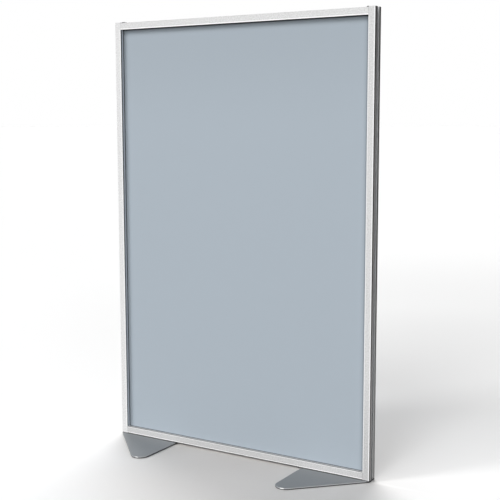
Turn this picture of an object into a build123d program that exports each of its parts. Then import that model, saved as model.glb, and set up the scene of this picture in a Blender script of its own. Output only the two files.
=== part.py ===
from build123d import *
from math import radians, tan
import os

os.makedirs("parts", exist_ok=True)

# Free-standing partition: a framed panel on two flat steel foot plates.
# X runs along the panel, -Y is the front, +Z is up. The origin is on the floor, under the middle.
# All lengths are millimetres.

# Overall sizes
overall_width = 1210.0
frame_top = 1800.0

# Frame bar, one extruded section for both stiles and both rails
bar_face = 29.0
bar_depth = 48.0
bar_wall = 1.8
bar_corner_radius = 1.0
groove_depth = 12.0
slot_mouth = 14.0
slot_lip = 2.0
slot_width = 20.0
slot_depth = 7.0

# Infill panel, a light core board between two thin skins
panel_thickness = 10.0
skin_thickness = 1.0

# Glazing gasket, a channel pressed over the panel's edge
gasket_wall = 1.0
gasket_base = 1.5
gasket_lip_height = 1.0
gasket_lip_overhang = 2.5

# Foot plate, a truncated triangle with two rounded tips
foot_base = 297.0
foot_tip_angle = 45.0
foot_tip_radius = 40.0
foot_end_radius = 2.0
plate_thickness = 6.0
plate_edge_chamfer = 0.8

# Anti-slip pads under each foot plate
pad_diameter = 24.0
pad_thickness = 1.5
end_pad_share = 0.2

# Stile cap, pressed into the top end of each stile
cap_head = 2.0
cap_edge_chamfer = 0.5
prong_length = 14.0
prong_tip_chamfer = 2.0
prong_clearance = 0.3

# Slot plug, closing each end of the top rail's slot
plug_length = 11.0
plug_head_width = 30.0
plug_head_height = 4.0
plug_edge_chamfer = 0.5
plug_clearance = 0.2

# Screws. Threads are left out, so a threaded hole is as wide as its screw and a small fit.
thread_fit = 0.05
corner_screw_diameter = 5.0
corner_screw_engagement = 22.0
corner_head_diameter = 9.5
corner_head_height = 2.8
corner_socket = 3.0
corner_socket_depth = 1.6
foot_screw_diameter = 6.0
foot_screw_engagement = 20.0
foot_head_diameter = 11.5
foot_head_angle = 90.0
foot_head_seat = 0.2
foot_socket = 4.0
foot_socket_depth = 2.0
through_clearance = 0.3
HEXAGON = 6

# Slot nut, held in the bottom rail's slot by the foot plate's inner screw
rail_screw_share = 0.6
nut_length = 18.0
nut_height = 5.0
nut_clearance = 0.3
nut_corner_chamfer = 1.0

# Places that follow from the sizes
frame_bottom = pad_thickness + plate_thickness
window_width = overall_width - 2 * bar_face
window_bottom = frame_bottom + bar_face
window_top = frame_top - bar_face
window_middle = (window_bottom + window_top) / 2
stile_length = frame_top - frame_bottom
groove_width = panel_thickness + 2 * gasket_wall
panel_insert = groove_depth - gasket_base
panel_width = window_width + 2 * panel_insert
panel_height = window_top - window_bottom + 2 * panel_insert
core_thickness = panel_thickness - 2 * skin_thickness

# Places in the bar's section: u runs from the panel side outwards, v through the depth
slot_floor_u = bar_face - slot_lip - slot_depth
centre_port_u = (groove_depth + slot_floor_u) / 2
centre_port_bore = corner_screw_diameter + 2 * thread_fit
centre_boss_width = centre_port_bore + 2 * bar_wall
side_port_bore = foot_screw_diameter + 2 * thread_fit
side_boss_radius = side_port_bore / 2 + bar_wall
side_port_u = bar_face / 2
side_port_v = bar_depth / 2 - bar_wall / 2 - side_boss_radius
chamber_inner_v = centre_boss_width / 2
chamber_outer_v = bar_depth / 2 - bar_wall

# Places on a foot plate: distance in from the frame's end, then from the middle of the depth
foot_half_base = bar_depth / 2 + foot_base
tip_middle = foot_base - foot_tip_radius
tip_side = foot_half_base - foot_tip_radius / tan(radians(foot_tip_angle / 2))
pad_places = [(tip_middle, -tip_side), (tip_middle, tip_side), (end_pad_share * foot_base, 0)]
stile_screw_places = [(bar_face - side_port_u, -side_port_v), (bar_face - side_port_u, side_port_v)]
rail_screw_places = [(rail_screw_share * foot_base, 0)]


def bar_section():
    """Draws the frame bar's section in the sketch that is open."""
    with Locations((bar_face / 2, 0)):
        Rectangle(bar_face, bar_depth)
    fillet(vertices(), radius=bar_corner_radius)

    # Front and rear chambers, open from wall to wall
    chamber_width = chamber_outer_v - chamber_inner_v
    chamber_middle = (chamber_outer_v + chamber_inner_v) / 2
    with Locations((bar_face / 2, -chamber_middle), (bar_face / 2, chamber_middle)):
        Rectangle(bar_face - 2 * bar_wall, chamber_width, mode=Mode.SUBTRACT)

    # Walls round the panel groove and round the slot, and the round screw ports
    groove_box = groove_depth + bar_wall
    slot_box = slot_lip + slot_depth + bar_wall
    with Locations((groove_box / 2, 0)):
        Rectangle(groove_box, groove_width + 2 * bar_wall)
    with Locations((bar_face - slot_box / 2, 0)):
        Rectangle(slot_box, slot_width + 2 * bar_wall)
    with Locations((side_port_u, -side_port_v), (side_port_u, side_port_v)):
        Circle(side_boss_radius)

    # Panel groove, slot with its two lips, and the bores of the ports
    with Locations((groove_depth / 2, 0)):
        Rectangle(groove_depth, groove_width, mode=Mode.SUBTRACT)
    with Locations((bar_face - (slot_lip + slot_depth) / 2, 0)):
        Rectangle(slot_lip + slot_depth, slot_mouth, mode=Mode.SUBTRACT)
    with Locations((slot_floor_u + slot_depth / 2, 0)):
        Rectangle(slot_depth, slot_width, mode=Mode.SUBTRACT)
    with Locations((side_port_u, -side_port_v), (side_port_u, side_port_v)):
        Circle(side_port_bore / 2, mode=Mode.SUBTRACT)
    with Locations((centre_port_u, 0)):
        Circle(centre_port_bore / 2, mode=Mode.SUBTRACT)


def stile_plane(side, height, up=1):
    """Plane across a stile, u pointing outwards. side is -1 for left, 1 for right; up is 1 or -1."""
    return Plane(origin=(side * window_width / 2, 0, height), x_dir=(side, 0, 0), z_dir=(0, 0, up))


def rail_plane(end, side, inwards):
    """Plane across a rail, u pointing away from the panel. end is -1 for the bottom rail, 1 for the top."""
    height = window_top if end > 0 else window_bottom
    start = side * (window_width / 2 - inwards)
    return Plane(origin=(start, 0, height), x_dir=(0, 0, end), z_dir=(-side, 0, 0))


def corner_screw_planes(side):
    """Seats of a stile's two corner screws, on the floor of its slot, facing outwards."""
    seat_x = side * (window_width / 2 + slot_floor_u)
    heights = (window_bottom - centre_port_u, window_top + centre_port_u)
    return [Plane(origin=(seat_x, 0, height), z_dir=(side, 0, 0)) for height in heights]


def stile(side):
    """One upright of the frame, bored through its web for the two corner screws."""
    with BuildPart() as bar:
        with BuildSketch(stile_plane(side, frame_bottom)):
            bar_section()
        extrude(amount=stile_length)
        with Locations(*corner_screw_planes(side)):
            Hole(corner_screw_diameter / 2 + through_clearance, depth=slot_floor_u - groove_depth)
    return bar


def rail(end):
    """One cross bar of the frame, butted between the stiles, its slot away from the panel."""
    with BuildPart() as bar:
        with BuildSketch(rail_plane(end, -1, 0)):
            bar_section()
        extrude(amount=window_width)
    return bar


def panel_layer(front_face, thickness):
    """One layer of the panel. front_face is how far its front lies before the middle of the depth."""
    face = Plane(origin=(0, -front_face, window_middle), x_dir=(1, 0, 0), z_dir=(0, -1, 0))
    with BuildPart() as layer:
        with BuildSketch(face):
            Rectangle(panel_width, panel_height)
        extrude(amount=-thickness)
    return layer


def gasket_section():
    """Draws the gasket's channel and its two lips, in the same places as the bar's section."""
    with Locations((groove_depth / 2, 0)):
        Rectangle(groove_depth, groove_width)
    with Locations((-gasket_lip_height / 2, 0)):
        Rectangle(gasket_lip_height, groove_width + 2 * gasket_lip_overhang)
    with Locations(((panel_insert - gasket_lip_height) / 2, 0)):
        Rectangle(panel_insert + gasket_lip_height, panel_thickness, mode=Mode.SUBTRACT)


def mitre_plane(side, end):
    """Plane at 45 degrees through one corner of the groove, facing the gasket of the rail."""
    corner_x = side * (window_width / 2 + groove_depth)
    corner_z = window_middle + end * ((window_top - window_bottom) / 2 + groove_depth)
    return Plane(origin=(corner_x, 0, corner_z), z_dir=(-side, 0, end))


def side_gasket(side):
    """Gasket on the panel's left or right edge, mitred at both ends."""
    with BuildPart() as gasket:
        with BuildSketch(stile_plane(side, window_bottom - groove_depth)):
            gasket_section()
        extrude(amount=window_top - window_bottom + 2 * groove_depth)
        split(bisect_by=mitre_plane(side, 1), keep=Keep.BOTTOM)
        split(bisect_by=mitre_plane(side, -1), keep=Keep.BOTTOM)
    return gasket


def end_gasket(end):
    """Gasket on the panel's top or bottom edge, mitred at both ends."""
    with BuildPart() as gasket:
        with BuildSketch(rail_plane(end, -1, -groove_depth)):
            gasket_section()
        extrude(amount=window_width + 2 * groove_depth)
        split(bisect_by=mitre_plane(-1, end), keep=Keep.TOP)
        split(bisect_by=mitre_plane(1, end), keep=Keep.TOP)
    return gasket


def stile_cap(side):
    """Cap on a stile's top end, notched at the slot, with four prongs in the chambers."""
    notch_depth = slot_lip + slot_depth
    free_corners = (
        (bar_wall, side_port_u - side_boss_radius, groove_width / 2 + bar_wall),
        (side_port_u + side_boss_radius, bar_face - bar_wall, slot_width / 2 + bar_wall),
    )
    with BuildPart() as cap:
        with BuildSketch(stile_plane(side, frame_top)):
            with Locations((bar_face / 2, 0)):
                Rectangle(bar_face, bar_depth)
            fillet(vertices(), radius=bar_corner_radius)
            with Locations((bar_face - notch_depth / 2, 0)):
                Rectangle(notch_depth, slot_mouth, mode=Mode.SUBTRACT)
        extrude(amount=cap_head)
        chamfer(faces().sort_by(Axis.Z)[-1].edges(), length=cap_edge_chamfer)

        with BuildSketch(stile_plane(side, frame_top, -1)):
            for low_u, high_u, inner_v in free_corners:
                middle_u = (low_u + high_u) / 2
                middle_v = (inner_v + chamber_outer_v) / 2
                prong_width = chamber_outer_v - inner_v - 2 * prong_clearance
                with Locations((middle_u, -middle_v), (middle_u, middle_v)):
                    Rectangle(high_u - low_u - 2 * prong_clearance, prong_width)
        extrude(amount=prong_length)
        chamfer(edges().group_by(Axis.Z)[0], length=prong_tip_chamfer)
    return cap


def slot_plug(side):
    """Plug that closes one end of the top rail's slot, its head standing proud of the rail."""
    body_low = slot_floor_u + plug_clearance
    body_high = bar_face - slot_lip - plug_clearance
    neck_high = bar_face + plug_head_height / 2
    with BuildPart() as plug:
        with BuildSketch(rail_plane(1, side, 0)):
            with Locations(((body_low + body_high) / 2, 0)):
                Rectangle(body_high - body_low, slot_width - 2 * plug_clearance)
            with Locations(((body_low + neck_high) / 2, 0)):
                Rectangle(neck_high - body_low, slot_mouth - 2 * plug_clearance)
            with Locations((bar_face + plug_head_height / 2, 0)):
                Rectangle(plug_head_height, plug_head_width)
        extrude(amount=plug_length)
        chamfer(faces().sort_by(Axis.Z)[-1].edges(), length=plug_edge_chamfer)
    return plug


def foot_plane(side, height, up=1):
    """Plane at a frame end, X running inwards. side is -1 for left, 1 for right; up is 1 or -1."""
    return Plane(origin=(side * overall_width / 2, 0, height), x_dir=(-side, 0, 0), z_dir=(0, 0, up))


def foot_plate(side):
    """Steel plate under one end of the frame, with its screw holes countersunk from below."""
    half_depth = bar_depth / 2
    with BuildPart() as plate:
        with BuildSketch(foot_plane(side, pad_thickness)) as outline:
            with BuildLine():
                Polyline(
                    (0, -half_depth),
                    (foot_base, -half_depth - foot_base),
                    (foot_base, half_depth + foot_base),
                    (0, half_depth),
                    close=True,
                )
            make_face()
            fillet(outline.vertices().group_by(Axis.X)[-1], radius=foot_tip_radius)
            fillet(outline.vertices().group_by(Axis.X)[0], radius=foot_end_radius)
        extrude(amount=plate_thickness)
        chamfer(faces().sort_by(Axis.Z)[-1].edges(), length=plate_edge_chamfer)
        with Locations(foot_plane(side, pad_thickness, -1)):
            with Locations(*stile_screw_places, *rail_screw_places):
                CounterSinkHole(
                    radius=foot_screw_diameter / 2 + through_clearance,
                    counter_sink_radius=foot_head_diameter / 2 + foot_head_seat,
                    counter_sink_angle=foot_head_angle,
                )
    return plate


def foot_pads(side):
    """Three round pads under one foot plate, one at each tip and one under the frame's end."""
    with BuildPart() as pads:
        with BuildSketch(foot_plane(side, 0)):
            with Locations(*pad_places):
                Circle(pad_diameter / 2)
        extrude(amount=pad_thickness)
    return pads


def socket_screw():
    """One corner screw, its round head standing on Z = 0 and its shank pointing down."""
    with BuildPart() as screw:
        with BuildSketch():
            Circle(corner_head_diameter / 2)
        extrude(amount=corner_head_height)
        with BuildSketch(Plane.XY.offset(corner_head_height)):
            RegularPolygon(corner_socket / 2, HEXAGON, major_radius=False)
        extrude(amount=-corner_socket_depth, mode=Mode.SUBTRACT)
        with BuildSketch():
            Circle(corner_screw_diameter / 2)
        extrude(amount=-slot_floor_u - corner_screw_engagement)
    return screw


def countersunk_screw(length):
    """One foot screw, its flat head on Z = 0 and its shank pointing down."""
    head_radius = foot_head_diameter / 2
    shank_radius = foot_screw_diameter / 2
    head_height = (head_radius - shank_radius) / tan(radians(foot_head_angle / 2))
    with BuildPart() as screw:
        with BuildSketch(Plane.XZ):
            with BuildLine():
                Polyline(
                    (0, 0),
                    (head_radius, 0),
                    (shank_radius, -head_height),
                    (shank_radius, -length),
                    (0, -length),
                    close=True,
                )
            make_face()
        revolve(axis=Axis.Z)
        with BuildSketch():
            RegularPolygon(foot_socket / 2, HEXAGON, major_radius=False)
        extrude(amount=-foot_socket_depth, mode=Mode.SUBTRACT)
    return screw


# The four bars of the frame
left_stile = stile(-1)
right_stile = stile(1)
top_rail = rail(1)
bottom_rail = rail(-1)

# The three layers of the panel
panel_front_skin = panel_layer(panel_thickness / 2, skin_thickness)
panel_core = panel_layer(core_thickness / 2, core_thickness)
panel_rear_skin = panel_layer(-core_thickness / 2, skin_thickness)

# The gasket, in four mitred lengths
gasket_left = side_gasket(-1)
gasket_right = side_gasket(1)
gasket_top = end_gasket(1)
gasket_bottom = end_gasket(-1)

# Caps and plugs at the top of the frame
left_stile_cap = stile_cap(-1)
right_stile_cap = stile_cap(1)
left_slot_plug = slot_plug(-1)
right_slot_plug = slot_plug(1)

# Feet
left_foot_plate = foot_plate(-1)
right_foot_plate = foot_plate(1)
left_foot_pads = foot_pads(-1)
right_foot_pads = foot_pads(1)

# One screw of each kind
corner_screw = socket_screw()
stile_foot_screw = countersunk_screw(plate_thickness + foot_screw_engagement)
rail_foot_screw = countersunk_screw(plate_thickness + slot_lip + nut_height)

# The four screws that hold the rails to the stiles, reached through the stiles' slots
with BuildPart() as corner_screws:
    for side in (-1, 1):
        with Locations(*corner_screw_planes(side)):
            add(corner_screw.part)

# The four screws from the foot plates into the stiles' ports
with BuildPart() as stile_foot_screws:
    for side in (-1, 1):
        with Locations(foot_plane(side, pad_thickness, -1)):
            with Locations(*stile_screw_places):
                add(stile_foot_screw.part)

# The two screws from the foot plates into the slot nuts
with BuildPart() as rail_foot_screws:
    for side in (-1, 1):
        with Locations(foot_plane(side, pad_thickness, -1)):
            with Locations(*rail_screw_places):
                add(rail_foot_screw.part)

# The two slot nuts, lying on the lips of the bottom rail's slot
with BuildPart() as slot_nuts:
    for side in (-1, 1):
        with BuildSketch(foot_plane(side, frame_bottom + slot_lip)):
            with Locations(*rail_screw_places):
                Rectangle(nut_length, slot_width - 2 * nut_clearance)
            chamfer(vertices(), length=nut_corner_chamfer)
            with Locations(*rail_screw_places):
                Circle(foot_screw_diameter / 2 + thread_fit, mode=Mode.SUBTRACT)
        extrude(amount=nut_height)

# Name and write each piece
pieces = {
    "left_stile": left_stile,
    "right_stile": right_stile,
    "top_rail": top_rail,
    "bottom_rail": bottom_rail,
    "panel_core": panel_core,
    "panel_front_skin": panel_front_skin,
    "panel_rear_skin": panel_rear_skin,
    "gasket_left": gasket_left,
    "gasket_right": gasket_right,
    "gasket_top": gasket_top,
    "gasket_bottom": gasket_bottom,
    "left_stile_cap": left_stile_cap,
    "right_stile_cap": right_stile_cap,
    "left_slot_plug": left_slot_plug,
    "right_slot_plug": right_slot_plug,
    "left_foot_plate": left_foot_plate,
    "right_foot_plate": right_foot_plate,
    "left_foot_pads": left_foot_pads,
    "right_foot_pads": right_foot_pads,
    "corner_screws": corner_screws,
    "stile_foot_screws": stile_foot_screws,
    "rail_foot_screws": rail_foot_screws,
    "slot_nuts": slot_nuts,
}
for name, piece in pieces.items():
    piece.part.label = name
    export_step(piece.part, f"parts/{name}.step")
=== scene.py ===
from math import cos, radians, sin

import bmesh
import bpy
from mathutils import Matrix, Vector


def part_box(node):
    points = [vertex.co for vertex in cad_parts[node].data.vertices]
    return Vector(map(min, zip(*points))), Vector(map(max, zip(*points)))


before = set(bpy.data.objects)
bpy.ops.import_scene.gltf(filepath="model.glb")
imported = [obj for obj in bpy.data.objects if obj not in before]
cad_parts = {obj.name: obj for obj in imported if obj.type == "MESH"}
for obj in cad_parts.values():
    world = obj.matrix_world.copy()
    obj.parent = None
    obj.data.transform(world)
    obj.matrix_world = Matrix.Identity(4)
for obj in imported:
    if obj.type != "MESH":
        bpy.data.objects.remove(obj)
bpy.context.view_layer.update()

X, Y, Z = range(3)
LOW, HIGH = range(2)


# Places read from the frame

def limit(name, axis, side):
    """Where a piece ends along an axis."""
    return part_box(name)[side][axis]


def middle(name, axis):
    """The middle of a piece along an axis."""
    return (limit(name, axis, LOW) + limit(name, axis, HIGH)) / 2


def half_size(name, axis):
    """Half of a piece's size along an axis."""
    return (limit(name, axis, HIGH) - limit(name, axis, LOW)) / 2


# Camera, from the straight edges and foot tips in the photograph
CAMERA_PLACE = (2.179, -3.459, 1.385)
CAMERA_YAW = 31.587
CAMERA_PITCH = 7.258
CAMERA_ROLL = -0.090
CAMERA_LENS = 72.68
SENSOR_WIDTH = 36.0

# Lamps: azimuth from the front (-Y) towards +X, elevation, width of the lit disc, strength
LAMPS = {
    "front_softbox": (-20.5, 4.5, 63.0, 2.93),
    "upper_front_softbox": (6.0, 43.5, 20.0, 0.78),
    "overhead_softbox": (-144.5, 57.0, 34.0, 2.27),
    "left_softbox": (-39.5, 35.5, 14.0, 0.79),
    "right_softbox": (48.5, 1.0, 13.0, 0.82),
}

# Light that the room itself gives to the object and the floor; seen directly, the room is white
ROOM_LEVEL = 0.01

# Floor: its size, the level at which it throws light back, and the level that is seen
FLOOR_RADIUS = 300.0
FLOOR_SEGMENTS = 96
FLOOR_BOUNCE = 0.12
FLOOR_SEEN = 0.92

# Painted shade and painted light on the floor, in soft patches that darken or lighten its seen colour:
# centre, half sizes along X and Y, shade of the centre
FLOOR_PATCHES = {
    "right_of_frame": ((0.27, -0.08), (0.72, 1.07), (0.900, 0.885, 0.875)),
    "far_behind": ((-0.56, 3.58), (3.18, 4.0), (0.925, 0.925, 0.925)),
    "under_frame": ((0.0, 0.08), (0.69, 0.50), (0.845, 0.827, 0.810)),
    "left_front": ((-0.34, -0.165), (0.53, 0.85), (0.950, 0.940, 0.933)),
    "light_in_front": ((0.02, -0.47), (0.535, 0.535), (1.075, 1.060, 1.045)),
    "round_left_foot": ((-0.40, 0.015), (0.30, 0.35), (0.873, 0.860, 0.845)),
    "behind": ((-0.25, 2.20), (1.14, 1.75), (0.927, 0.927, 0.927)),
    "light_under_bottom_rail": ((0.0, -0.010), (0.9, 0.028), (1.38, 1.38, 1.38)),
}

# Share of a patch's half size over which its shade is full
PATCH_CORE_SHARE = 0.1

# Frame bars: direction of the length, tone of the faces at the low and at the high end
# (painted light and shade: the tones differ from bar to bar, and the right stile darkens towards its foot),
# side of the shaded corner, painted shade (1 is up or +X, -1 is down), and its width on the face,
# width of the bright rim, a painted highlight, beside that corner and of the one along the other edge,
# and how strongly the bar's sides are darkened with painted shade beside its front and rear faces
BARS = {
    "left_stile": {
        "along": Z, "low_tone": 0.765, "high_tone": 0.765,
        "corner_side": 1, "corner_width": 0.0011, "corner_rim": 0.0044, "other_rim": 0.0,
        "side_shade": 0.8,
    },
    "right_stile": {
        "along": Z, "low_tone": 0.54, "high_tone": 0.69,
        "corner_side": 1, "corner_width": 0.0016, "corner_rim": 0.0036, "other_rim": 0.0028,
        "side_shade": 0.9,
    },
    "top_rail": {
        "along": X, "low_tone": 0.72, "high_tone": 0.72,
        "corner_side": -1, "corner_width": 0.0010, "corner_rim": 0.0040, "other_rim": 0.0,
        "side_shade": 0.5,
    },
    "bottom_rail": {
        "along": X, "low_tone": 0.57, "high_tone": 0.57,
        "corner_side": -1, "corner_width": 0.0020, "corner_rim": 0.0026, "other_rim": 0.0022,
        "side_shade": 0.5,
    },
}
BAR_HALF_FACE = half_size("top_rail", Z)
BAR_HALF_DEPTH = half_size("top_rail", Y)

# Direction across the face of a bar along X and of a bar along Z
ACROSS = {X: Z, Z: X}

# Places along X and Z between which a bar's faces go from the low tone to the high one, a painted drift of
# light and shade
TONE_SPANS = {X: (-0.6, 0.6), Z: (0.0, 0.5)}

# Mottle that the blasting left on a bar's faces and sides
FACE_MOTTLE = 0.80
SIDE_MOTTLE = 0.12

# Lines that the die left along a bar
LINE_COLOUR = (0.60, 0.60, 0.61, 1.0)
LINE_STRENGTH = 0.08
LINE_STRETCH = 0.01
LINE_RELIEF = 0.5

# Painted shade in the corners of a bar, and how deep the corners reach from its faces
CORNER_TONE = 0.012
CORNER_DEPTH = 0.001

# Undersides of the rails, darkened with painted shade
UNDERSIDE_TONE = 0.02

# Painted shade on a bar's sides: distances at which it is full and gone, from each face
# and, for the stiles' outer sides, from the rear face alone
SIDE_SHADE_DEPTHS = (0.003, 0.010)
REAR_SHADE_DEPTHS = (0.006, 0.017)

# Heights between which the painted shade on a stile's sides grows, the share of it that the foot has,
# and its strength beside the rear face at the foot and above
SHADE_HEIGHTS = (0.0, 0.9)
FOOT_SHADE_SHARE = 0.65
REAR_SHADES = (0.2, 0.9)

# Outer sides of the stiles, painted light and shade, lighter at the foot and darker at the head:
# tone at the foot, over most of the height and at the head,
# the heights between which one tone goes over into the next, and how far inwards a surface counts as one
SIDE_TONES = (1.0, 0.65, 0.25)
SIDE_HEIGHTS = ((0.2, 1.0), (1.3, 1.85))
OUTER_SIDE_DEPTH = 0.0015
OUTER_SIDE = limit("right_stile", X, HIGH) - OUTER_SIDE_DEPTH

# Inner sides of the stiles: a painted reflection of the panel's blue
INNER_SIDE_TINT = (0.93, 1.0, 1.08, 1.0)

# How squarely a surface faces a direction (1 is straight on): the least that counts as a bar's face,
# the least that counts as facing up or down, and where an edge turns from one face towards the next
FACE_NORMAL = 0.9
LEVEL_NORMAL = 0.5
EDGE_NORMALS = (0.99, 0.9)

# Window in the frame, where the panel lies deep between the bars
WINDOW_HALF_WIDTH = limit("right_stile", X, LOW)
WINDOW_BOTTOM = limit("bottom_rail", Z, HIGH)
WINDOW_TOP = limit("top_rail", Z, LOW)

# Panel: colour, and painted shades beside the bars, each with its bar,
# the distances from the bar at which it is full and gone, and its tone
PANEL_COLOUR = (0.400, 0.455, 0.508)
PANEL_SHADES = (
    ("top_rail", 0.0, 0.45, 0.935),
    ("top_rail", 0.008, 0.032, 0.78),
    ("top_rail", 0.0, 0.0045, 0.25),
    ("left_stile", 0.012, 0.032, 0.89),
    ("right_stile", 0.004, 0.030, 0.92),
    ("right_stile", 0.0085, 0.0170, 0.66),
)

# Foot plates: coat, light turned edges painted as a highlight, and how far towards +X an edge must face to
# be light
PLATE_COLOUR = (0.262, 0.276, 0.289, 1.0)
PLATE_EDGE_COLOUR = (0.75, 0.76, 0.77, 1.0)
PLATE_EDGE_NORMALS = (-0.5, -0.2)
PLATE_EDGE_STRENGTH = 0.5

# Dark lower edges of the foot plates, painted shade where they meet the floor: their tone, and how far
# above and below the middle they fade out
PLATE_MIDDLE = middle("left_foot_plate", Z)
LOWER_EDGE_TONE = 0.04
LOWER_EDGE_FADE = 0.001
LOWER_EDGE_HEIGHTS = (PLATE_MIDDLE - LOWER_EDGE_FADE, PLATE_MIDDLE + LOWER_EDGE_FADE)

# Painted shade of the frame on the foot plates: its tone, and the depths between which it fades
PLATE_SHADE_TONE = 0.35
PLATE_SHADE_DEPTHS = (0.030, 0.036)

# Painted glints, bright spots on the front tips of the foot plates: distances from the plates'
# inner ends, distances at which a spot is full and gone, its depth, and how far below the middle it sets in
RIGHT_SPOT_INSET = 0.046
LEFT_SPOT_INSET = 0.029
SPOT_REACHES = (0.0048, 0.012)
SPOT_DEPTH = 0.0029
SPOT_FADE = 0.0005
SPOT_PLACES = (
    limit("right_foot_plate", X, LOW) + RIGHT_SPOT_INSET,
    limit("left_foot_plate", X, HIGH) - LEFT_SPOT_INSET,
)
SPOT_REAR = limit("right_foot_plate", Y, LOW) + SPOT_DEPTH
SPOT_HEIGHTS = (PLATE_MIDDLE - SPOT_FADE, PLATE_MIDDLE)

# Caps on the stiles: tone of the top and of the flanks, which are dark with painted shade, and how far a
# surface turns between them
CAP_TONE = 0.62
CAP_FLANK_TONE = 0.015
CAP_FLANK_NORMALS = (0.4, 0.6)

# Depth of the relief on all finishes
RELIEF_DEPTH = 0.0002

# Colour sockets of the Mix node, which follow those for numbers and vectors
MIX_FIRST = 6
MIX_SECOND = 7
MIX_RESULT = 2


# Node helpers

def add_node(tree, kind, **settings):
    """Adds a node and sets its properties."""
    node = tree.nodes.new(kind)
    for name, value in settings.items():
        setattr(node, name, value)
    return node


def feed(tree, target, source):
    """Sets an input socket to a value, or links another node's output to it."""
    if isinstance(source, bpy.types.NodeSocket):
        tree.links.new(source, target)
    else:
        target.default_value = source


def maths(tree, operation, first, second=None, clamp=False):
    """One Math node; returns its output."""
    node = add_node(tree, "ShaderNodeMath", operation=operation, use_clamp=clamp)
    feed(tree, node.inputs[0], first)
    if second is not None:
        feed(tree, node.inputs[1], second)
    return node.outputs[0]


def absolute(tree, value):
    """A value without its sign."""
    return maths(tree, "ABSOLUTE", value)


def remap(tree, value, low, high, new_low, new_high):
    """Maps low..high to new_low..new_high, with smooth ends."""
    node = add_node(tree, "ShaderNodeMapRange", interpolation_type="SMOOTHSTEP")
    for socket, number in zip(node.inputs, (value, low, high, new_low, new_high)):
        feed(tree, socket, number)
    return node.outputs[0]


def split(tree, vector):
    """The three parts of a vector."""
    node = add_node(tree, "ShaderNodeSeparateXYZ")
    feed(tree, node.inputs[0], vector)
    return node.outputs


def grey(level):
    """A neutral colour."""
    return (level, level, level, 1.0)


def scale_colour(tree, colour, level):
    """A colour made lighter or darker."""
    node = add_node(tree, "ShaderNodeVectorMath", operation="SCALE")
    feed(tree, node.inputs[0], colour)
    feed(tree, node.inputs["Scale"], level)
    return node.outputs[0]


def mix_colours(tree, factor, first, second, blend="MIX"):
    """Mixes two colours by a factor."""
    node = add_node(tree, "ShaderNodeMix", data_type="RGBA", blend_type=blend)
    feed(tree, node.inputs["Factor"], factor)
    feed(tree, node.inputs[MIX_FIRST], first)
    feed(tree, node.inputs[MIX_SECOND], second)
    return node.outputs[MIX_RESULT]


def noise(tree, vector, scale, detail, roughness):
    """One noise texture; returns its value."""
    node = add_node(tree, "ShaderNodeTexNoise")
    feed(tree, node.inputs["Vector"], vector)
    feed(tree, node.inputs["Scale"], scale)
    node.inputs["Detail"].default_value = detail
    node.inputs["Roughness"].default_value = roughness
    return node.outputs[0]


def start_group(name, inputs, outputs):
    """A shader node group with its sockets; returns the tree, its input node and its output node."""
    tree = bpy.data.node_groups.new(name, "ShaderNodeTree")
    for label, kind, value in inputs:
        socket = tree.interface.new_socket(name=label, in_out="INPUT", socket_type=kind)
        if value is not None:
            socket.default_value = value
    for label, kind in outputs:
        tree.interface.new_socket(name=label, in_out="OUTPUT", socket_type=kind)
    return tree, tree.nodes.new("NodeGroupInput"), tree.nodes.new("NodeGroupOutput")


def place_group(tree, group, **values):
    """Puts a group into a material; underscores in the names stand for spaces."""
    node = add_node(tree, "ShaderNodeGroup", node_tree=group)
    for name, value in values.items():
        feed(tree, node.inputs[name.replace("_", " ")], value)
    return node


# Shared effects

def make_speckle():
    """Fine speckle over a broader mottle, as on blasted metal, powder coat or matt laminate."""
    tree, given, result = start_group(
        "speckled_finish",
        [
            ("Vector", "NodeSocketVector", None),
            ("Colour", "NodeSocketColor", grey(0.5)),
            ("Grain Scale", "NodeSocketFloat", 1500.0),
            ("Grain Depth", "NodeSocketFloat", 0.05),
            ("Mottle Scale", "NodeSocketFloat", 200.0),
            ("Mottle Depth", "NodeSocketFloat", 0.04),
            ("Roughness", "NodeSocketFloat", 0.5),
            ("Roughness Spread", "NodeSocketFloat", 0.06),
        ],
        [
            ("Colour", "NodeSocketColor"),
            ("Roughness", "NodeSocketFloat"),
            ("Height", "NodeSocketFloat"),
        ],
    )

    def swing(texture, depth):
        """A texture's swing about its middle."""
        return maths(tree, "MULTIPLY", maths(tree, "SUBTRACT", texture, 0.5), given.outputs[depth])

    vector = given.outputs["Vector"]
    grain = noise(tree, vector, given.outputs["Grain Scale"], detail=2.0, roughness=0.6)
    mottle = noise(tree, vector, given.outputs["Mottle Scale"], detail=3.0, roughness=0.55)
    swings = maths(tree, "ADD", swing(grain, "Grain Depth"), swing(mottle, "Mottle Depth"))
    level = maths(tree, "ADD", swings, 1.0)
    roughness = maths(tree, "ADD", given.outputs["Roughness"], swing(mottle, "Roughness Spread"))
    feed(tree, result.inputs["Colour"], scale_colour(tree, given.outputs["Colour"], level))
    feed(tree, result.inputs["Roughness"], roughness)
    feed(tree, result.inputs["Height"], grain)
    return tree


def make_edge_mask():
    """Mask of the rounded and chamfered edges, where the surface turns between two flat faces."""
    tree, given, result = start_group(
        "turned_edges",
        [("Normal", "NodeSocketVector", None), ("Strength", "NodeSocketFloat", 1.0)],
        [("Mask", "NodeSocketFloat")],
    )
    sizes = [absolute(tree, part) for part in split(tree, given.outputs["Normal"])]
    largest = maths(tree, "MAXIMUM", maths(tree, "MAXIMUM", sizes[X], sizes[Y]), sizes[Z])
    turned = remap(tree, largest, *EDGE_NORMALS, 0.0, 1.0)
    mask = maths(tree, "MULTIPLY", turned, given.outputs["Strength"], clamp=True)
    feed(tree, result.inputs["Mask"], mask)
    return tree


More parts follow.
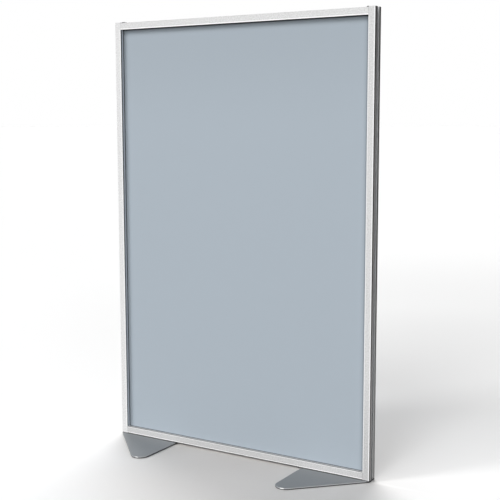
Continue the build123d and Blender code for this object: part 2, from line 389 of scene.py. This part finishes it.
def make_drawn_lines():
    """Fine lines along a bar's length, left by the die it was pressed through."""
    tree, given, result = start_group(
        "drawn_lines",
        [
            ("Vector", "NodeSocketVector", None),
            ("Line Scale", "NodeSocketFloat", 900.0),
        ],
        [("Lines", "NodeSocketFloat")],
    )
    lines = noise(tree, given.outputs["Vector"], given.outputs["Line Scale"], detail=3.0, roughness=0.6)
    feed(tree, result.inputs["Lines"], lines)
    return tree


def make_bar_edges():
    """Masks of a bar's edges: bright rims of painted highlight on its faces, and painted shade in its
    corners and on its sides.
    """
    tree, given, result = start_group(
        "bar_edges",
        [
            ("Vector", "NodeSocketVector", None),
            ("Normal", "NodeSocketVector", None),
            ("Towards Corner", "NodeSocketFloat", 0.0),
            ("Corner Width", "NodeSocketFloat", 0.001),
            ("Corner Rim", "NodeSocketFloat", 0.003),
            ("Other Rim", "NodeSocketFloat", 0.0),
            ("Side Shade", "NodeSocketFloat", 0.5),
            ("Rear Shade", "NodeSocketFloat", 0.0),
        ],
        [("Rim", "NodeSocketFloat"), ("Corner", "NodeSocketFloat")],
    )
    corner_width = given.outputs["Corner Width"]
    squareness = absolute(tree, split(tree, given.outputs["Normal"])[Y])
    faces_out = maths(tree, "GREATER_THAN", squareness, FACE_NORMAL)
    from_corner = maths(tree, "SUBTRACT", BAR_HALF_FACE, given.outputs["Towards Corner"])
    from_other = maths(tree, "ADD", BAR_HALF_FACE, given.outputs["Towards Corner"])
    rim_end = maths(tree, "ADD", corner_width, given.outputs["Corner Rim"])
    corner_rim = maths(tree, "LESS_THAN", from_corner, rim_end)
    other_rim = maths(tree, "LESS_THAN", from_other, given.outputs["Other Rim"])
    rims = maths(tree, "MAXIMUM", corner_rim, other_rim)
    feed(tree, result.inputs["Rim"], maths(tree, "MULTIPLY", rims, faces_out))

    depth = split(tree, given.outputs["Vector"])[Y]
    from_face = maths(tree, "SUBTRACT", BAR_HALF_DEPTH, absolute(tree, depth))
    from_rear = maths(tree, "SUBTRACT", BAR_HALF_DEPTH, depth)
    on_face = maths(tree, "MULTIPLY", faces_out, maths(tree, "LESS_THAN", from_face, CORNER_DEPTH))
    face_corner = maths(tree, "MULTIPLY", maths(tree, "LESS_THAN", from_corner, corner_width), on_face)
    side_shade = maths(
        tree, "MAXIMUM",
        remap(tree, from_face, *SIDE_SHADE_DEPTHS, given.outputs["Side Shade"], 0.0),
        remap(tree, from_rear, *REAR_SHADE_DEPTHS, given.outputs["Rear Shade"], 0.0),
    )
    side_corner = maths(tree, "MULTIPLY", side_shade, maths(tree, "SUBTRACT", 1.0, faces_out))
    feed(tree, result.inputs["Corner"], maths(tree, "MAXIMUM", face_corner, side_corner))
    return tree


def make_recess_shade():
    """Tone of the panel in its window: painted shade under the top rail and beside the stiles."""
    tree, given, result = start_group(
        "recess_shade",
        [("Vector", "NodeSocketVector", None)],
        [("Tone", "NodeSocketFloat")],
    )
    place = split(tree, given.outputs["Vector"])
    distances = {
        "top_rail": maths(tree, "SUBTRACT", WINDOW_TOP, place[Z]),
        "left_stile": maths(tree, "ADD", WINDOW_HALF_WIDTH, place[X]),
        "right_stile": maths(tree, "SUBTRACT", WINDOW_HALF_WIDTH, place[X]),
    }
    tone = 1.0
    for bar, full, gone, shade in PANEL_SHADES:
        tone = maths(tree, "MULTIPLY", remap(tree, distances[bar], full, gone, shade, 1.0), tone)
    feed(tree, result.inputs["Tone"], tone)
    return tree


speckle = make_speckle()
bar_edges = make_bar_edges()
edge_mask = make_edge_mask()
recess_shade = make_recess_shade()
drawn_lines = make_drawn_lines()


# Finishes

def start_finish(name):
    """A material with its shader and object coordinates; returns material, tree, shader, coordinates."""
    material = bpy.data.materials.new(name)
    material.use_nodes = True
    tree = material.node_tree
    shader = tree.nodes["Principled BSDF"]
    coordinates = add_node(tree, "ShaderNodeTexCoord")
    return material, tree, shader, coordinates


def coat(tree, shader, colour, roughness, height, relief):
    """Feeds colour, roughness and relief into the shader."""
    feed(tree, shader.inputs["Base Color"], colour)
    feed(tree, shader.inputs["Roughness"], roughness)
    node = add_node(tree, "ShaderNodeBump")
    node.inputs["Strength"].default_value = relief
    node.inputs["Distance"].default_value = RELIEF_DEPTH
    feed(tree, node.inputs["Height"], height)
    feed(tree, shader.inputs["Normal"], node.outputs[0])


def rail_tone(tree, tone, normal):
    """A rail's tone, with painted shade on its underside."""
    downwards = maths(tree, "LESS_THAN", normal[Z], -LEVEL_NORMAL)
    return mix_colours(tree, downwards, tone, grey(UNDERSIDE_TONE))


def stile_tone(tree, tone, height, sideways, on_outer_side):
    """A stile's tone, with a painted bluish reflection on its inner side and painted light and shade
    drifting up its outer side.
    """
    (foot, body), (neck, head) = SIDE_HEIGHTS
    foot_tone, body_tone, head_tone = SIDE_TONES
    side = mix_colours(tree, remap(tree, height, foot, body, 0.0, 1.0), grey(foot_tone), grey(body_tone))
    side = mix_colours(tree, remap(tree, height, neck, head, 0.0, 1.0), side, grey(head_tone))
    tinted = mix_colours(tree, sideways, tone, INNER_SIDE_TINT, blend="MULTIPLY")
    return mix_colours(tree, maths(tree, "MULTIPLY", on_outer_side, sideways), tinted, side)


def beside_window(tree, height, width):
    """A width on a stile, kept beside the window and 0 above and below it."""
    above_bottom = maths(tree, "GREATER_THAN", height, WINDOW_BOTTOM)
    below_top = maths(tree, "LESS_THAN", height, WINDOW_TOP)
    return maths(tree, "MULTIPLY", maths(tree, "MULTIPLY", above_bottom, below_top), width)


def lines_along(tree, coordinates, along):
    """The drawn lines, stretched along a bar's length."""
    stretched = add_node(tree, "ShaderNodeMapping")
    feed(tree, stretched.inputs["Vector"], coordinates.outputs["Object"])
    stretched.inputs["Scale"].default_value = [LINE_STRETCH if axis == along else 1.0 for axis in (X, Y, Z)]
    return place_group(tree, drawn_lines, Vector=stretched.outputs[0], Line_Scale=700.0).outputs["Lines"]


def bar_finish(name, along, low_tone, high_tone,
               corner_side, corner_width, corner_rim, other_rim, side_shade):
    """Silver, fine-blasted anodised bar: painted light and shade in its tone, which drifts along its
    length, bright rims of painted highlight, and painted shade in its corners and on its sides.

    along is X for a rail and Z for a stile.
    """
    material, tree, shader, coordinates = start_finish(name)
    place = split(tree, coordinates.outputs["Object"])
    normal = split(tree, coordinates.outputs["Normal"])
    drift = remap(tree, place[along], *TONE_SPANS[along], 0.0, 1.0)
    tone = mix_colours(tree, drift, grey(low_tone), grey(high_tone))
    sideways = maths(tree, "LESS_THAN", absolute(tree, normal[Y]), FACE_NORMAL)
    across = ACROSS[along]
    rear_shade = 0.0
    if along == X:
        tone = rail_tone(tree, tone, normal)
    else:
        height = place[Z]
        on_outer_side = maths(tree, "GREATER_THAN", absolute(tree, place[X]), OUTER_SIDE)
        tone = stile_tone(tree, tone, height, sideways, on_outer_side)
        side_shade = remap(tree, height, *SHADE_HEIGHTS, FOOT_SHADE_SHARE * side_shade, side_shade)
        rear_strength = remap(tree, height, *SHADE_HEIGHTS, *REAR_SHADES)
        rear_shade = maths(tree, "MULTIPLY", on_outer_side, rear_strength)
        if corner_side * middle(name, across) < 0:
            corner_width = beside_window(tree, height, corner_width)
            corner_rim = beside_window(tree, height, corner_rim)
        else:
            other_rim = beside_window(tree, height, other_rim)
    grain = place_group(
        tree, speckle,
        Vector=coordinates.outputs["Object"], Colour=tone,
        Grain_Scale=1400.0, Grain_Depth=0.16,
        Mottle_Scale=210.0, Mottle_Depth=remap(tree, sideways, 0.0, 1.0, FACE_MOTTLE, SIDE_MOTTLE),
        Roughness=0.5, Roughness_Spread=0.10,
    )
    lines = lines_along(tree, coordinates, along)
    line_mask = maths(tree, "MULTIPLY", lines, LINE_STRENGTH)
    lined = mix_colours(tree, line_mask, grain.outputs["Colour"], LINE_COLOUR)
    from_middle = maths(tree, "SUBTRACT", place[across], middle(name, across))
    edges = place_group(
        tree, bar_edges,
        Vector=coordinates.outputs["Object"], Normal=coordinates.outputs["Normal"],
        Towards_Corner=maths(tree, "MULTIPLY", corner_side, from_middle),
        Corner_Width=corner_width, Corner_Rim=corner_rim, Other_Rim=other_rim,
        Side_Shade=side_shade, Rear_Shade=rear_shade,
    )
    # Painted highlight: white rims along the faces' edges
    rimmed = mix_colours(tree, edges.outputs["Rim"], lined, grey(1.0))
    # Painted shade: dark corners and shaded sides
    shaded = mix_colours(tree, edges.outputs["Corner"], rimmed, grey(CORNER_TONE))
    lined_height = maths(tree, "ADD", grain.outputs["Height"], maths(tree, "MULTIPLY", lines, LINE_RELIEF))
    shader.inputs["Specular IOR Level"].default_value = 0.05
    coat(tree, shader, shaded, grain.outputs["Roughness"], lined_height, relief=0.25)
    return material


def panel_finish():
    """Matt blue-grey laminate with a fine, close texture."""
    material, tree, shader, coordinates = start_finish("laminate_blue_grey")
    shade = place_group(tree, recess_shade, Vector=coordinates.outputs["Object"])
    grain = place_group(
        tree, speckle,
        Vector=coordinates.outputs["Object"],
        Colour=scale_colour(tree, PANEL_COLOUR, shade.outputs["Tone"]),
        Grain_Scale=900.0, Grain_Depth=0.04, Mottle_Scale=9.0, Mottle_Depth=0.012,
        Roughness=0.55, Roughness_Spread=0.08,
    )
    shader.inputs["Specular IOR Level"].default_value = 0.1
    coat(
        tree, shader,
        grain.outputs["Colour"], grain.outputs["Roughness"], grain.outputs["Height"],
        relief=0.12,
    )
    return material


def plate_lower_edge(tree, place, normal):
    """1 on the lower part of a foot plate's edge."""
    on_edge = maths(tree, "LESS_THAN", absolute(tree, normal[Z]), LEVEL_NORMAL)
    low = remap(tree, place[Z], *LOWER_EDGE_HEIGHTS, 1.0, 0.0)
    return maths(tree, "MULTIPLY", low, on_edge)


def painted_tip_glints(tree, place):
    """1 on the painted glints of the foot plates' front tips."""
    distances = [absolute(tree, maths(tree, "SUBTRACT", place[X], spot)) for spot in SPOT_PLACES]
    near = remap(tree, maths(tree, "MINIMUM", *distances), *SPOT_REACHES, 1.0, 0.0)
    in_front = maths(tree, "LESS_THAN", place[Y], SPOT_REAR)
    high = remap(tree, place[Z], *SPOT_HEIGHTS, 0.0, 1.0)
    return maths(tree, "MULTIPLY", near, maths(tree, "MULTIPLY", in_front, high))


def plate_finish():
    """Mid-grey powder coat, with painted highlights on turned edges, painted shade on lower edges and
    painted glints at the tips.
    """
    material, tree, shader, coordinates = start_finish("plate_powder_coat")
    place = split(tree, coordinates.outputs["Object"])
    normal = split(tree, coordinates.outputs["Normal"])
    grain = place_group(
        tree, speckle,
        Vector=coordinates.outputs["Object"], Colour=PLATE_COLOUR,
        Grain_Scale=1100.0, Grain_Depth=0.14, Mottle_Scale=150.0, Mottle_Depth=0.08,
        Roughness=0.5, Roughness_Spread=0.10,
    )
    edges = place_group(
        tree, edge_mask,
        Normal=coordinates.outputs["Normal"],
        Strength=remap(tree, normal[X], *PLATE_EDGE_NORMALS, 0.0, PLATE_EDGE_STRENGTH),
    )
    # Painted highlight on the turned edges that face the front and +X
    edged = mix_colours(tree, edges.outputs["Mask"], grain.outputs["Colour"], PLATE_EDGE_COLOUR)
    # Painted shade on the plates' lower edges
    darkened = mix_colours(tree, plate_lower_edge(tree, place, normal), edged, grey(LOWER_EDGE_TONE))
    # Painted shade of the frame on the plates
    by_frame = remap(tree, absolute(tree, place[Y]), *PLATE_SHADE_DEPTHS, PLATE_SHADE_TONE, 1.0)
    shaded = scale_colour(tree, darkened, by_frame)
    # Painted glints on the front tips
    glinted = mix_colours(tree, painted_tip_glints(tree, place), shaded, grey(1.0))
    coat(tree, shader, glinted, grain.outputs["Roughness"], grain.outputs["Height"], relief=0.3)
    return material


def cap_finish():
    """Light grey moulded plastic with a fine texture, with painted shade on its flanks."""
    material, tree, shader, coordinates = start_finish("cap_grey_plastic")
    grain = place_group(
        tree, speckle,
        Vector=coordinates.outputs["Object"], Colour=grey(CAP_TONE),
        Grain_Scale=1300.0, Grain_Depth=0.08, Mottle_Scale=160.0, Mottle_Depth=0.08,
        Roughness=0.55, Roughness_Spread=0.12,
    )
    sideways = absolute(tree, split(tree, coordinates.outputs["Normal"])[X])
    flank = remap(tree, sideways, *CAP_FLANK_NORMALS, 0.0, 1.0)
    colour = mix_colours(tree, flank, grain.outputs["Colour"], grey(CAP_FLANK_TONE))
    coat(tree, shader, colour, grain.outputs["Roughness"], grain.outputs["Height"], relief=0.2)
    return material


def plain_finish(name, colour, roughness, grain_scale, grain_depth, relief, metallic=0.0):
    """A moulded, rubber, board or plated finish: one colour with grain in its shade, gloss and relief."""
    material, tree, shader, coordinates = start_finish(name)
    grain = place_group(
        tree, speckle,
        Vector=coordinates.outputs["Object"], Colour=(*colour, 1.0),
        Grain_Scale=grain_scale, Grain_Depth=grain_depth,
        Mottle_Scale=grain_scale / 8, Mottle_Depth=grain_depth,
        Roughness=roughness, Roughness_Spread=0.12,
    )
    shader.inputs["Metallic"].default_value = metallic
    coat(
        tree, shader,
        grain.outputs["Colour"], grain.outputs["Roughness"], grain.outputs["Height"],
        relief=relief,
    )
    return material


def rubber_finish(name, colour):
    """Matt rubber of a gasket."""
    return plain_finish(name, colour, roughness=0.8, grain_scale=1200.0, grain_depth=0.25, relief=0.2)


FINISHES = {name: bar_finish(name, **settings) for name, settings in BARS.items()}
laminate = panel_finish()
powder_coat = plate_finish()
board = plain_finish(
    "core_fibreboard", (0.45, 0.36, 0.26),
    roughness=0.85, grain_scale=900.0, grain_depth=0.35, relief=0.4,
)
gasket_rubber = rubber_finish("gasket_black_rubber", (0.01, 0.01, 0.011))
# Lighter copies of the black gasket rubber: painted light on the left gasket and on the up-facing bottom
# one
lit_rubber = rubber_finish("gasket_lit_rubber", (0.055, 0.059, 0.064))
upfacing_lit_rubber = rubber_finish("gasket_upfacing_lit_rubber", (0.082, 0.092, 0.105))
cap_plastic = cap_finish()
plug_plastic = plain_finish(
    "plug_black_plastic", (0.008, 0.008, 0.009),
    roughness=0.6, grain_scale=1300.0, grain_depth=0.2, relief=0.2,
)
pad_rubber = plain_finish(
    "pad_black_rubber", (0.03, 0.03, 0.032),
    roughness=0.8, grain_scale=900.0, grain_depth=0.25, relief=0.3,
)
zinc = plain_finish(
    "screw_zinc", (0.62, 0.62, 0.63),
    roughness=0.35, grain_scale=1500.0, grain_depth=0.10, relief=0.1, metallic=1.0,
)
FINISHES.update({
    "panel_core": board,
    "panel_front_skin": laminate,
    "panel_rear_skin": laminate,
    "gasket_left": lit_rubber,
    "gasket_right": gasket_rubber,
    "gasket_top": gasket_rubber,
    "gasket_bottom": upfacing_lit_rubber,
    "left_stile_cap": cap_plastic,
    "right_stile_cap": cap_plastic,
    "left_slot_plug": plug_plastic,
    "right_slot_plug": plug_plastic,
    "left_foot_plate": powder_coat,
    "right_foot_plate": powder_coat,
    "left_foot_pads": pad_rubber,
    "right_foot_pads": pad_rubber,
    "corner_screws": zinc,
    "stile_foot_screws": zinc,
    "rail_foot_screws": zinc,
    "slot_nuts": zinc,
})
for node_name, finish in FINISHES.items():
    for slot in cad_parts[node_name].material_slots:
        slot.material = finish


# Room, lamps and camera

def plain_view(tree):
    """1 for rays that show the background: seen directly, in gloss or through glass."""
    path = add_node(tree, "ShaderNodeLightPath")
    seen = maths(tree, "ADD", path.outputs["Is Camera Ray"], path.outputs["Is Glossy Ray"], clamp=True)
    return maths(tree, "ADD", seen, path.outputs["Is Transmission Ray"], clamp=True)


def patch_mask(tree, coordinates, centre, half_sizes):
    """1 in the core of a soft oval patch on the floor, 0 outside it."""
    oval = add_node(tree, "ShaderNodeMapping", vector_type="TEXTURE")
    feed(tree, oval.inputs["Vector"], coordinates.outputs["Object"])
    oval.inputs["Location"].default_value = (*centre, 0.0)
    oval.inputs["Scale"].default_value = (*half_sizes, 1.0)
    reach = add_node(tree, "ShaderNodeVectorMath", operation="LENGTH")
    feed(tree, reach.inputs[0], oval.outputs[0])
    return remap(tree, reach.outputs["Value"], PATCH_CORE_SHARE, 1.0, 1.0, 0.0)


def floor_finish():
    """White floor with painted shade and painted light in soft patches of the colour that is seen."""
    material, tree, shader, coordinates = start_finish("floor_white")
    seen = grey(FLOOR_SEEN)
    for centre, half_sizes, shade in FLOOR_PATCHES.values():
        mask = patch_mask(tree, coordinates, centre, half_sizes)
        seen = mix_colours(tree, mask, seen, (*shade, 1.0), blend="MULTIPLY")
    feed(tree, shader.inputs["Base Color"], mix_colours(tree, plain_view(tree), grey(FLOOR_BOUNCE), seen))
    shader.inputs["Roughness"].default_value = 1.0
    shader.inputs["Specular IOR Level"].default_value = 0.0
    return material


def make_floor():
    """A wide, plain white floor that keeps the object's shadow."""
    mesh = bpy.data.meshes.new("floor")
    shape = bmesh.new()
    bmesh.ops.create_circle(shape, cap_ends=True, segments=FLOOR_SEGMENTS, radius=FLOOR_RADIUS)
    shape.to_mesh(mesh)
    shape.free()
    floor = bpy.data.objects.new("floor", mesh)
    bpy.context.scene.collection.objects.link(floor)
    mesh.materials.append(floor_finish())


def light_room():
    """A white background and wide, soft lamps."""
    world = bpy.data.worlds.new("studio")
    world.use_nodes = True
    bpy.context.scene.world = world
    tree = world.node_tree
    background = tree.nodes["Background"]
    feed(tree, background.inputs["Color"], mix_colours(tree, plain_view(tree), grey(ROOM_LEVEL), grey(1.0)))
    for name, (azimuth, elevation, width, strength) in LAMPS.items():
        lamp = bpy.data.lights.new(name, "SUN")
        lamp.energy = strength
        lamp.angle = radians(width)
        holder = bpy.data.objects.new(name, lamp)
        turn, rise = radians(azimuth), radians(elevation)
        towards = Vector((sin(turn) * cos(rise), -cos(turn) * cos(rise), sin(rise)))
        holder.rotation_euler = towards.to_track_quat("Z", "Y").to_euler()
        bpy.context.scene.collection.objects.link(holder)


def place_camera():
    """The camera at the photograph's place."""
    data = bpy.data.cameras.new("camera")
    data.lens = CAMERA_LENS
    data.sensor_width = SENSOR_WIDTH
    data.sensor_fit = "HORIZONTAL"
    camera = bpy.data.objects.new("camera", data)
    camera.matrix_world = (
        Matrix.Translation(CAMERA_PLACE)
        @ Matrix.Rotation(radians(CAMERA_YAW), 4, "Z")
        @ Matrix.Rotation(radians(90.0 - CAMERA_PITCH), 4, "X")
        @ Matrix.Rotation(radians(CAMERA_ROLL), 4, "Z")
    )
    bpy.context.scene.collection.objects.link(camera)
    bpy.context.scene.camera = camera


make_floor()
light_room()
place_camera()
bpy.context.scene.view_settings.view_transform = "Standard"
